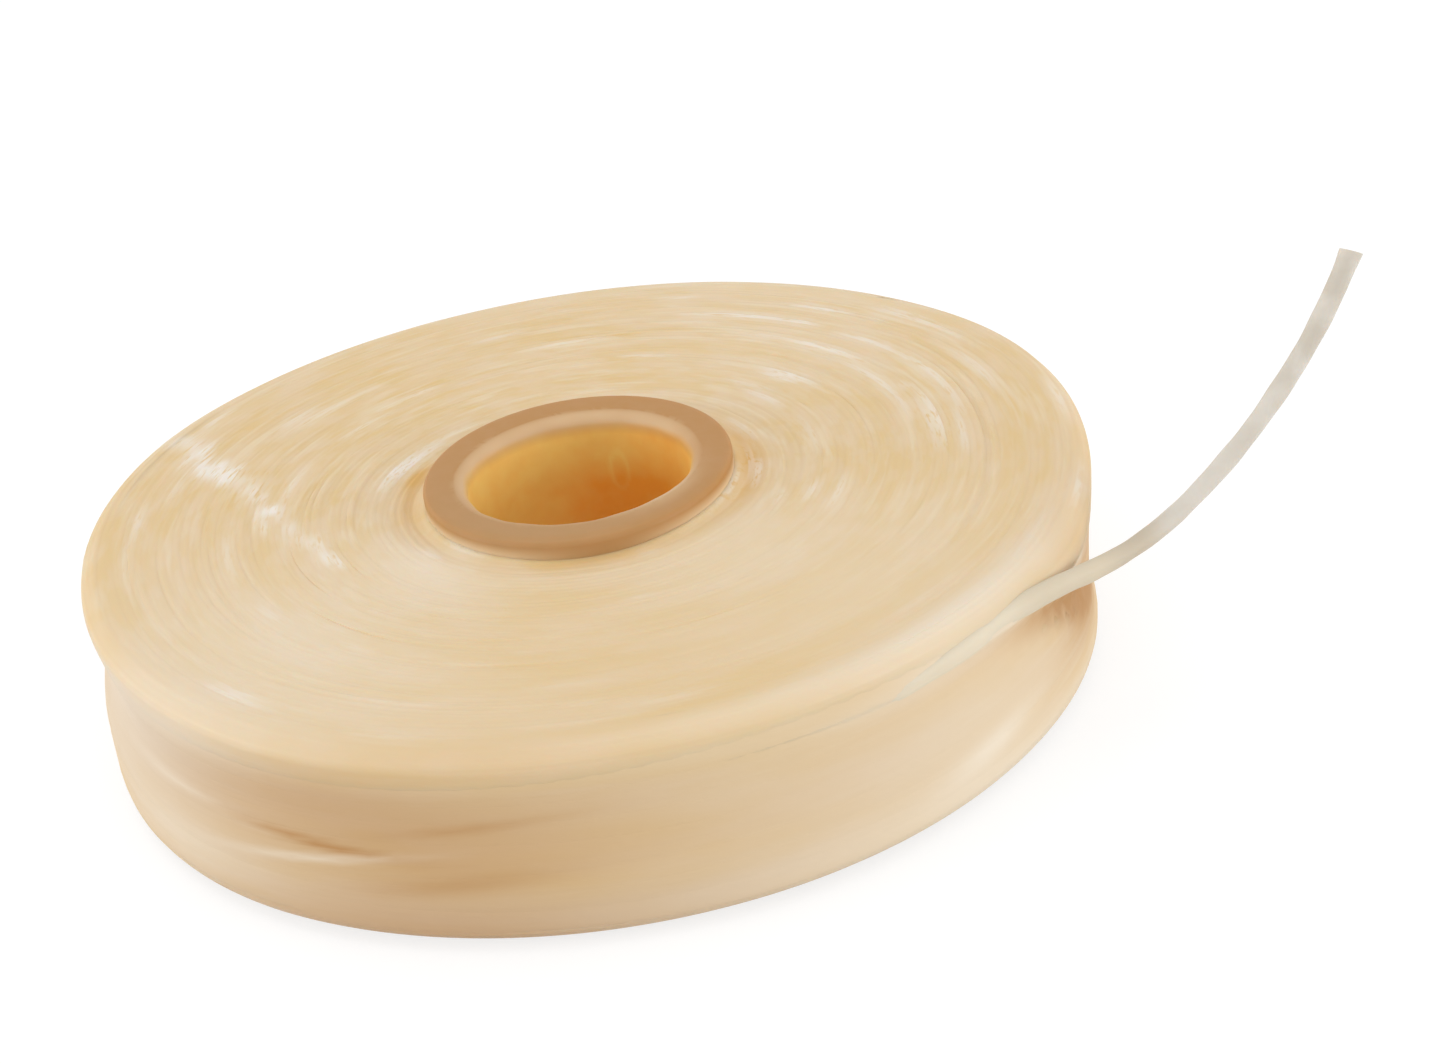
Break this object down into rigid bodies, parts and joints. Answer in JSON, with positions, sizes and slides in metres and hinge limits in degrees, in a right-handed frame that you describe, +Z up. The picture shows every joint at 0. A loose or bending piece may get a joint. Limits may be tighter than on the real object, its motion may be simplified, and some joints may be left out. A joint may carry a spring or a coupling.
{
  "type": "fishing line spool",
  "caption": "Flat disc of waxed fishing line wound without flanges on a short plastic core tube, with the stiff end of the line standing free.",
  "frame": {"origin": "centre of the lower end of the core tube, on the surface that the spool stands on", "axes": "+Z up along the core's axis, out of the upper face; +X to the right and +Y away in the picture, so that the free end of the line leaves towards +X"},
  "size_m": [0.0436, 0.0349, 0.0132],
  "materials": {
    "core_plastic": "satin",
    "waxed_line": "satin",
    "free_line": "satin"
  },
  "bodies": {
    "root": {"core_tube": "core_plastic", "wound_pack": "waxed_line", "outer_turns": "waxed_line", "line_end": "free_line"}
  },
  "joints": []
}
